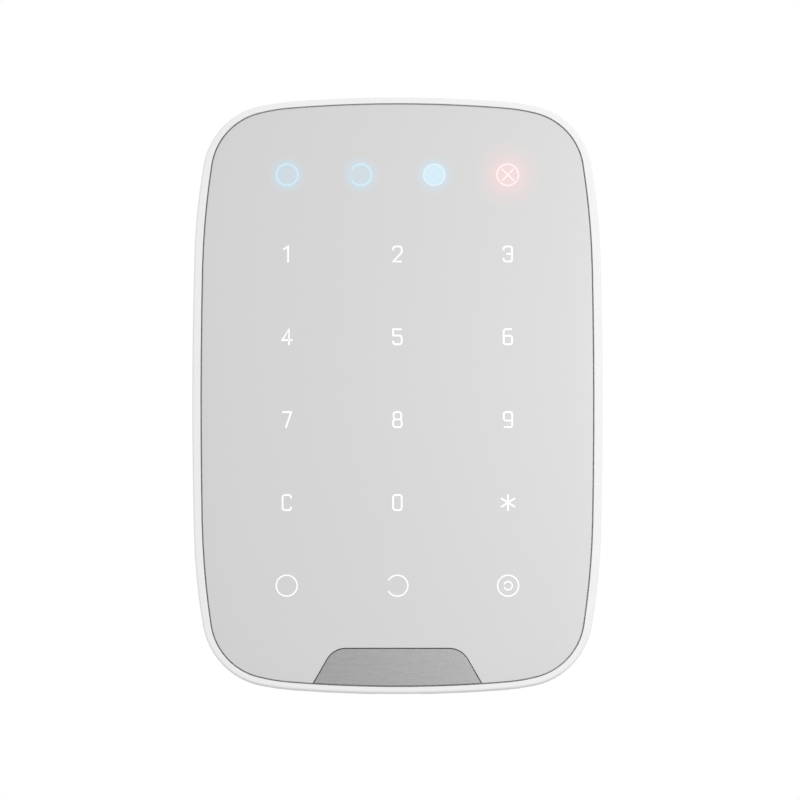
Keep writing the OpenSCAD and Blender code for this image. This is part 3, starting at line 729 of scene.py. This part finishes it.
def post_profile():
    """Radius and depth round a screw post; the hole left along its middle is too small to see."""
    post_end, post_top, bore_end = 5.2 * MM, 12.1 * MM, 9.9 * MM
    post_r, bore_r, chamfer = 2.8 * MM, 1.05 * MM, 0.25 * MM
    middle_r = 0.02 * MM
    cone = 0.4 * MM
    return [
        (bore_r + chamfer, post_end),
        (post_r - chamfer, post_end),
        (post_r, post_end + chamfer),
        (post_r, post_top - chamfer),
        (post_r - chamfer, post_top),
        (middle_r, post_top),
        (middle_r, bore_end + cone),
        (bore_r, bore_end),
        (bore_r, post_end + chamfer),
    ]


def badge_points(margin):
    """Outline of the badge and of its pocket: flat top, round corners, sloping sides, open at the foot."""
    slope = math.radians(60)
    reach = 20 * MM
    steps = 12
    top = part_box("badge_plate")[1].z
    arc_x = BADGE_HALF_W - (top - BADGE_LOW) / math.tan(slope) - BADGE_R * math.tan(slope / 2)
    arc_z = top - BADGE_R
    r = BADGE_R + margin
    turns = [math.pi / 2 - slope + slope * k / steps for k in range(steps + 1)]
    arc = [(arc_x + r * math.cos(a), arc_z + r * math.sin(a)) for a in turns]
    foot = (arc[0][0] + reach * math.cos(slope), arc[0][1] - reach * math.sin(slope))
    right = [foot] + arc
    return right + [(-x, z) for x, z in reversed(right)]


def badge_block(name, margin, back, front):
    """A block with the badge's outline, grown by a margin, between two depths."""
    points = badge_points(margin)
    return lofted(name, [[Vector((x, -d, z)) for x, z in points] for d in (back, front)])


def make_touch_panel():
    """Grey panel whose face falls away a little towards its edge, with a pocket for the badge."""
    edge_inset = PANEL_GAP / 2
    edge_r = 0.14 * MM
    dome_w = 6 * MM
    dome_drop = 0.05 * MM
    dome_steps = 8
    ease = 0.1 * MM
    rows = [OPENING.ring(edge_inset + ease, PANEL_BACK), OPENING.ring(edge_inset, PANEL_BACK + ease)]
    face = PANEL_FRONT - dome_drop
    rows += [OPENING.ring(i, d) for i, d in quarter_round(edge_inset, face, edge_r, 4)]
    for k in range(1, dome_steps + 1):
        share = k / dome_steps
        rows.append(OPENING.ring(
            edge_inset + edge_r + (dome_w - edge_r) * share,
            PANEL_FRONT - dome_drop * (1 - share) ** 2,
        ))
    obj = lofted("touch_panel_finish", rows)
    floor = -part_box("badge_adhesive")[1].y
    pocket = badge_block("pocket", BADGE_GAP, floor, PANEL_FRONT + SPARE)
    combine(obj, [pocket], "DIFFERENCE")
    show(obj, "touch_panel")


def make_badge_plate():
    """Blank plate that ends at the foot along the panel's own edge."""
    low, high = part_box("badge_plate")
    plate = badge_block("badge_plate_finish", 0, -high.y, -low.y)
    edge_margin = 0.05 * MM
    edge_r = 0.07 * MM
    inset = PANEL_GAP / 2 + edge_margin
    limit = lofted("limit", [OPENING.ring(inset, -high.y - SPARE), OPENING.ring(inset, -low.y + SPARE)])
    combine(plate, [limit], "INTERSECT")
    show(soften(plate, edge_r, sharp=50), "badge_plate")


# ---------------------------------------------------------------- legends

LEGEND_BACK = PANEL_FRONT - 0.02 * MM
LEGEND_FRONT = PANEL_FRONT + 0.03 * MM
DIGIT_W = 2.6 * MM
DIGIT_H = 4.25 * MM
STROKE = 0.46 * MM
CORNER_R = 0.6 * MM
CORNER_STEPS = 8
# A corner whose half angle is more than this counts as straight
STRAIGHT = math.radians(89)


def rounded_path(points, radii, closed=False):
    """A polyline with each of its inner corners replaced by an arc of that corner's radius."""
    count = len(points)
    path = []
    for k, corner in enumerate(points):
        if not closed and k in (0, count - 1):
            path.append(Vector(corner))
            continue
        here = Vector(corner)
        before = (Vector(points[k - 1]) - here).normalized()
        after = (Vector(points[(k + 1) % count]) - here).normalized()
        half = before.angle(after) / 2
        radius = radii[k]
        if radius == 0 or half > STRAIGHT:
            path.append(here)
            continue
        centre = here + (before + after).normalized() * radius / math.sin(half)
        start = here + before * radius / math.tan(half) - centre
        end = here + after * radius / math.tan(half) - centre
        turn = start.angle_signed(end)
        for step in range(CORNER_STEPS + 1):
            spin = Matrix.Rotation(-turn * step / CORNER_STEPS, 2)
            path.append(centre + spin @ start)
    return path


def ribbon(name, path, width, closed=False):
    """A flat strip of that width along a path in X and Z, from the back to the front of a legend."""
    count = len(path)
    longest_mitre = 2
    left, right = [], []
    for k, here in enumerate(path):
        ahead = (path[(k + 1) % count] - here) if closed or k < count - 1 else (here - path[k - 1])
        behind = (here - path[k - 1]) if closed or k > 0 else ahead
        ahead, behind = ahead.normalized(), behind.normalized()
        along = (ahead + behind).normalized()
        across = Vector((-along.y, along.x)) * width / 2 / max(1 / longest_mitre, along.dot(ahead))
        left.append(here + across)
        right.append(here - across)
    bm = bmesh.new()
    sides = []
    for points in (left, right):
        for depth in (LEGEND_BACK, LEGEND_FRONT):
            sides.append([bm.verts.new((p.x, -depth, p.y)) for p in points])
    loop = [sides[0], sides[1], sides[3], sides[2]]
    for k in range(count if closed else count - 1):
        n = (k + 1) % count
        for one, other in zip(loop, loop[1:] + loop[:1]):
            bm.faces.new((one[k], one[n], other[n], other[k]))
    if not closed:
        bm.faces.new([side[0] for side in loop])
        bm.faces.new([side[-1] for side in loop])
    return mesh_object(name, bm)


def circle_path(radius, start, end):
    """Points round a circle between two angles in degrees, and whether they close."""
    pieces = 64
    closed = end - start >= 360
    count = pieces if closed else pieces + 1
    angles = [math.radians(start + (end - start) * k / pieces) for k in range(count)]
    return [Vector((radius * math.cos(a), radius * math.sin(a))) for a in angles], closed


def glyph_strokes():
    """Centre lines of each legend: lists of points, corner radii, and whether the stroke is closed.

    The stroke's middle line reaches w to each side and h up and down, and a corner has radius r.
    """
    w = (DIGIT_W - STROKE) / 2
    h = (DIGIT_H - STROKE) / 2
    r = CORNER_R
    m = 0.05 * MM
    bar = 1.08 * MM - STROKE / 2
    foot = -h - STROKE / 2
    belly = 0.25 * MM
    return {
        "1": [([(-0.85 * w, h - 0.75 * MM), (0.27 * MM, h), (0.27 * MM, foot)], [0, 0, 0], False)],
        "2": [([(-w, h - 1.0 * MM), (-w, h), (w, h), (w, 0.35 * MM), (-w, -h), (w, -h)],
               [0, r, r, r, 0, 0], False)],
        "3": [([(-w, h - 0.95 * MM), (-w, h), (w, h), (w, m), (-0.35 * w, m)],
               [0, r, r, 0.5 * r, 0], False),
              ([(-0.35 * w, m), (w, m), (w, -h), (-w, -h), (-w, -h + 0.95 * MM)],
               [0, 0.5 * r, r, r, 0], False)],
        "4": [([(0.52 * MM, foot), (0.52 * MM, h), (-1.18 * MM, -bar), (1.45 * MM, -bar)],
               [0, 0, 0, 0], False)],
        "5": [([(w, h), (-w, h), (-w, 0.3 * MM), (w, 0.3 * MM), (w, -h), (-w, -h), (-w, -h + 0.85 * MM)],
               [0, 0, 0, r, r, r, 0], False)],
        "6": [([(w, h), (-w, h), (-w, -h), (w, -h), (w, belly), (0, belly)], [0, r, r, r, r, 0], False),
              ([(0.3 * w, belly), (-w, belly)], [0, 0], False)],
        "7": [([(-w - STROKE / 4, h), (w, h), (-0.3 * MM, foot)], [0, 0, 0], False)],
        "8": [([(w * 0.9, h), (-w * 0.9, h), (-w * 0.9, m), (w * 0.9, m)], [r] * 4, True),
              ([(w, m), (-w, m), (-w, -h), (w, -h)], [r] * 4, True)],
        "9": [([(-w, -h), (w, -h), (w, h), (-w, h), (-w, -belly), (0, -belly)], [0, r, r, r, r, 0], False),
              ([(-0.3 * w, -belly), (w, -belly)], [0, 0], False)],
        "C": [([(w, h - 0.85 * MM), (w, h), (-w, h), (-w, -h), (w, -h), (w, -h + 0.85 * MM)],
               [0, r, r, r, r, 0], False)],
        "0": [([(w, h), (-w, h), (-w, -h), (w, -h)], [r] * 4, True)],
    }


def make_glyph(name, strokes, at, slot, parts=()):
    """One legend: strokes joined into a single thin solid and set down at its place."""
    pieces = [ribbon(name, rounded_path(p, r, closed), STROKE, closed) for p, r, closed in strokes]
    pieces += list(parts)
    obj = pieces[0]
    if len(pieces) > 1:
        combine(obj, pieces[1:], "UNION")
    obj.data.transform(Matrix.Translation((at[0], 0, at[1])))
    obj.name = name
    return dress(obj, "keypad", slot)


def ring_piece(radius, width, start=0.0, end=360.0):
    """A ring, or the part of one between two angles in degrees."""
    path, closed = circle_path(radius, start, end)
    return ribbon("ring", path, width, closed)


def bar_piece(length, angle, width):
    """A straight stroke through the middle, at an angle in degrees."""
    reach = Vector((math.cos(math.radians(angle)), math.sin(math.radians(angle)))) * length / 2
    return ribbon("bar", [-reach, reach], width)


def disc_piece(radius):
    """A disc that ends just behind the front of the ring round it."""
    front = LEGEND_FRONT - 0.01 * MM
    return turned("disc", (0, 0), [(radius, LEGEND_BACK), (radius, front)], 64)


def make_legends():
    """Digits, C and star on the keys, rings on the lowest row, and the status icons at the top."""
    glyphs = glyph_strokes()
    for k, digit in enumerate("123456789C0"):
        at = (KEY_X[k % 3], KEY_Z[k // 3])
        make_glyph("legend_" + digit, glyphs[digit], at, "led_white")
    arm = 4.2 * MM
    star = [bar_piece(arm, angle, STROKE) for angle in (90, 32, -32)]
    make_glyph("legend_star", [], (KEY_X[2], KEY_Z[3]), "led_white", star)

    mode_r, mode_w, mode_inner_r = 2.63 * MM, 0.36 * MM, 1.04 * MM
    mode_at = [(x, KEY_Z[4]) for x in KEY_X]
    make_glyph("mode_ring", [], mode_at[0], "led_white", [ring_piece(mode_r, mode_w)])
    make_glyph("mode_open_ring", [], mode_at[1], "led_white", [ring_piece(mode_r, mode_w, -150, 150)])
    double = [ring_piece(mode_r, mode_w), ring_piece(mode_inner_r, mode_w, -162, 162)]
    make_glyph("mode_double_ring", [], mode_at[2], "led_white", double)

    status_r, status_w, blue_w, disc_r = 2.68 * MM, 0.4 * MM, 0.5 * MM, 2.6 * MM
    blue_at = [(x, STATUS_Z) for x in BLUE_X]
    make_glyph("status_ring", [], blue_at[0], "led_blue", [ring_piece(status_r, blue_w)])
    make_glyph("status_open_ring", [], blue_at[1], "led_blue", [ring_piece(status_r, blue_w, -149, 149)])
    disc = [ring_piece(status_r, status_w), disc_piece(disc_r)]
    make_glyph("status_disc", [], blue_at[2], "led_blue", disc)
    cross = [ring_piece(status_r, status_w)] + [bar_piece(arm, angle, status_w) for angle in (45, -45)]
    make_glyph("status_cross", [], (RED_X, STATUS_Z), "led_red", cross)


# ---------------------------------------------------------------- screws, springs and cells

def round_rows(profile, count):
    """Rings about the Z axis: the profile is a list of radius and height."""
    turns = [2 * math.pi * k / count for k in range(count)]
    return [[Vector((r * math.cos(a), r * math.sin(a), z)) for a in turns] for r, z in profile]


def thread_rows(root_r, crest_r, low, high, pitch, count):
    """Rings of a thread that winds up about the Z axis and narrows at its tip."""
    steps_per_turn = 6
    steps = round((high - low) / pitch * steps_per_turn)
    tip_share = 0.35
    tip_length = 1.6 * crest_r
    rows = []
    for step in range(steps + 1):
        z = low + (high - low) * step / steps
        taper = min(1.0, tip_share + (high - z) / tip_length)
        ring = []
        for k in range(count):
            turn = (z / pitch - k / count) % 1.0
            r = (root_r + (crest_r - root_r) * (1 - abs(2 * turn - 1))) * taper
            angle = 2 * math.pi * k / count
            ring.append(Vector((r * math.cos(angle), r * math.sin(angle), z)))
        rows.append(ring)
    return rows


def screw(head_r, head_t, shank_r, length, pitch):
    """A screw that stands on its head at the origin, with a cross recess and a threaded shank."""
    count = 32
    ease = 0.2 * head_t
    root_r = 0.8 * shank_r
    head = [
        (head_r - 2.5 * ease, 0),
        (head_r - ease, 0.3 * ease),
        (head_r - 0.3 * ease, ease),
        (head_r, 2 * ease),
        (head_r, head_t - 0.4 * ease),
        (head_r - 0.4 * ease, head_t),
        (root_r, head_t),
    ]
    rows = round_rows(head, count)
    rows += thread_rows(root_r, shank_r, head_t + 0.5 * ease, head_t + length, pitch, count)
    obj = lofted("screw", rows)
    arm = 0.6 * head_r
    half = 0.16 * head_r
    deep = 0.6 * head_t
    cross = box_between("cross", (-arm, -half, -deep), (arm, half, deep))
    other = box_between("cross", (-half, -arm, -deep), (half, arm, deep))
    return combine(obj, [cross, other], "DIFFERENCE")


def moved(obj, place, turn=0.0):
    """Turns obj about X by an angle in degrees, then moves it to its place."""
    obj.data.transform(Matrix.Translation(place) @ Matrix.Rotation(math.radians(turn), 4, "X"))
    return obj


def make_lock_screw():
    """The screw under the bottom edge, which goes in upwards."""
    low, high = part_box("lock_screw")
    head_t, shank_r, pitch = 1.6 * MM, 1.15 * MM, 0.8 * MM
    obj = screw((high.x - low.x) / 2, head_t, shank_r, high.z - low.z - head_t, pitch)
    obj.name = "lock_screw_finish"
    show(moved(obj, (0, centre_of("lock_screw").y, low.z)), "lock_screw")


def make_screws(node, head_r, head_t, shank_r, pitch):
    """Four screws that go in from the back."""
    low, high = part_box(node)
    length = high.y - low.y - head_t
    four = [
        moved(screw(head_r, head_t, shank_r, length, pitch), (x, high.y, z), 90)
        for x, z in screw_centres(node, head_r)
    ]
    show(joined(node + "_finish", four), node)


def coil(name, start_r, end_r, wire_r, length, turns):
    """Round wire wound up the Z axis from the origin."""
    steps = 32 * turns
    around = 10
    rows = []
    for step in range(steps + 1):
        share = step / steps
        spin = 2 * math.pi * turns * share
        outwards = Vector((math.cos(spin), math.sin(spin), 0))
        middle = outwards * (start_r + (end_r - start_r) * share)
        middle.z = wire_r + (length - 2 * wire_r) * share
        rows.append([
            middle + wire_r * (outwards * math.cos(a) + Vector((0, 0, math.sin(a))))
            for a in (2 * math.pi * k / around for k in range(around))
        ])
    return lofted(name, rows)


def make_springs():
    """Conical springs under the cells, and the small one that stretches behind the tamper plunger."""
    low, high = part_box("battery_springs")
    turns = 3
    foot_r, tip_r, wire_r = 4 * MM, 2.2 * MM, 0.25 * MM
    cell_y = centre_of("battery_lower_left").y
    pair = [
        moved(coil("spring", foot_r, tip_r, wire_r, high.z - low.z, turns), (x, cell_y, low.z))
        for x in (centre_of("battery_lower_left").x, centre_of("battery_lower_right").x)
    ]
    show(joined("battery_springs_finish", pair), "battery_springs")
    low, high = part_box("tamper_spring")
    coil_r, wire_r = 1.6 * MM, 0.15 * MM
    middle = centre_of("tamper_plunger")
    small = coil("tamper_spring_finish", coil_r, coil_r, wire_r, high.y - low.y, turns)
    moved(small, (middle.x, high.y, middle.z), 90)
    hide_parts("tamper_spring")
    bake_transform(small)
    wear(small, SLOT_OF["tamper_spring"])


def make_cell(node):
    """Steel can with a nub at its top, inside a printed jacket that is folded over both ends."""
    low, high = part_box(node)
    r = (high.x - low.x) / 2
    film = 0.1 * MM
    gap = 0.02 * MM
    nub_r, nub_t, nub_edge = 1.9 * MM, 0.8 * MM, 0.2 * MM
    cell_top = high.z - low.z
    top = cell_top - nub_t
    fold = 0.9 * MM
    ease = 0.35 * MM
    place = (centre_of(node).x, centre_of(node).y, low.z)
    jacket = [
        (r - fold, gap),
        (r - ease, gap),
        (r - 0.3 * ease, 0.3 * ease),
        (r, ease),
        (r, top - ease),
        (r - 0.3 * ease, top - 0.3 * ease),
        (r - ease, top),
        (r - fold, top),
        (r - fold, top - film),
        (r - ease, top - film),
        (r - film, top - ease),
        (r - film, ease),
        (r - ease, gap + film),
        (r - fold, gap + film),
    ]
    show(moved(lofted(node + "_finish", round_rows(jacket, 64), closed=True), place), node)
    can_r = r - film - gap
    groove_w, groove_d = 1.2 * MM, 0.5 * MM
    can = [
        (can_r - 2.2 * ease, 0),
        (can_r - ease, film),
        (can_r, ease + film),
        (can_r, top - ease - film),
        (can_r - ease, top - 1.5 * film),
        (nub_r + 1.25 * groove_w, top - 1.5 * film),
        (nub_r + groove_w, top - groove_d),
        (nub_r + nub_edge, top - groove_d),
        (nub_r, top - groove_d + nub_edge),
        (nub_r, cell_top - nub_edge),
        (nub_r - nub_edge, cell_top),
    ]
    dress(moved(lofted(node + "_can", round_rows(can, 64)), place), BODY_OF[node], "contact_nickel")


# ---------------------------------------------------------------- parts on the board

def make_chip(node, leads, pitch, reach):
    """Moulded chip with a mark at its first lead and a row of leads on each side."""
    low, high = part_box(node)
    lead_w = 0.4 * pitch
    lead_t = 0.15 * MM
    sunk = 0.1 * MM
    edge_r = 0.08 * MM
    mark_r, mark_inset, mark_deep, above = 0.4 * MM, 1.1 * MM, 0.06 * MM, 0.2 * MM
    body = soften(copy_of(node), edge_r)
    mark_at = (low.x + mark_inset, high.z - mark_inset)
    mark = turned("mark", mark_at, [(mark_r, -high.y - above), (mark_r, -high.y + mark_deep)], 32)
    show(combine(body, [mark], "DIFFERENCE"), node)
    middle = centre_of(node)
    board = low.y
    boxes = []
    for k in range(leads):
        shift = (k - (leads - 1) / 2) * pitch
        for side in (low.x - reach, high.x - sunk):
            start = (side, board, middle.z + shift - lead_w / 2)
            boxes.append(box_between("lead", start, (side + reach + sunk, board + lead_t, start[2] + lead_w)))
        for side in (low.z - reach, high.z - sunk):
            start = (middle.x + shift - lead_w / 2, board, side)
            boxes.append(box_between("lead", start, (start[0] + lead_w, board + lead_t, side + reach + sunk)))
    dress(joined(node + "_leads", boxes), BODY_OF[node], "contact_nickel")


def make_capacitors():
    """Moulded bodies with a folded terminal at each end."""
    node = "supply_capacitors"
    low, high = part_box(node)
    edge_r = 0.15 * MM
    show(soften(copy_of(node), edge_r), node)
    length = 7.3 * MM
    strap_w = 2.6 * MM
    strap_t = 0.08 * MM
    tall = 1.1 * MM
    middle = centre_of(node).z
    straps = []
    for x in (low.x, low.x + length, high.x - length, high.x):
        left = (x - strap_t, low.y, middle - strap_w / 2)
        straps.append(box_between("strap", left, (x + strap_t, low.y + tall, middle + strap_w / 2)))
    dress(joined(node + "_terminals", straps), BODY_OF[node], "contact_nickel")


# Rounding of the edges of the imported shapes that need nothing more, in millimetres
SOFT_EDGES = {
    "mounting_bracket": 0.2,
    "rear_shell": 0.15,
    "rear_label": 0.02,
    "power_button": 0.2,
    "tamper_plunger": 0.15,
    "switch_plunger": 0.15,
    "power_switch": 0.15,
    "tamper_switch": 0.15,
    "light_baffle": 0.06,
    "main_board": 0.05,
    "key_leds": 0.06,
    "status_leds_blue": 0.06,
    "status_led_red": 0.06,
    "quartz_crystal": 0.15,
    "radio_shield": 0.08,
    "antenna": 0.05,
    "buzzer_disc": 0.04,
    "buzzer_ceramic": 0.04,
    "buzzer_contacts": 0.12,
    "spring_plates": 0.06,
    "button_contacts": 0.06,
    "battery_foam": 0.1,
    "panel_adhesive": 0.03,
    "badge_adhesive": 0.02,
    "touch_sensor_film": 0.03,
    "diffuser_film": 0.03,
}


def soften_packed():
    """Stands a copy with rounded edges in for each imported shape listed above."""
    for node, radius in SOFT_EDGES.items():
        show(soften(copy_of(node), radius * MM), node)


add_camera()
add_surroundings()
make_front_frame()
make_touch_panel()
make_badge_plate()
make_legends()
make_lock_screw()
make_screws("case_screws", head_r=CASE_HEAD_R, head_t=0.9 * MM, shank_r=1 * MM, pitch=0.7 * MM)
make_screws("board_screws", head_r=1.6 * MM, head_t=0.8 * MM, shank_r=0.8 * MM, pitch=0.6 * MM)
make_springs()
for cell in ("battery_upper_left", "battery_lower_left", "battery_upper_right", "battery_lower_right"):
    make_cell(cell)
make_chip("microcontroller", leads=12, pitch=0.65 * MM, reach=0.5 * MM)
make_chip("touch_controller", leads=8, pitch=0.6 * MM, reach=0.4 * MM)
make_capacitors()
soften_packed()
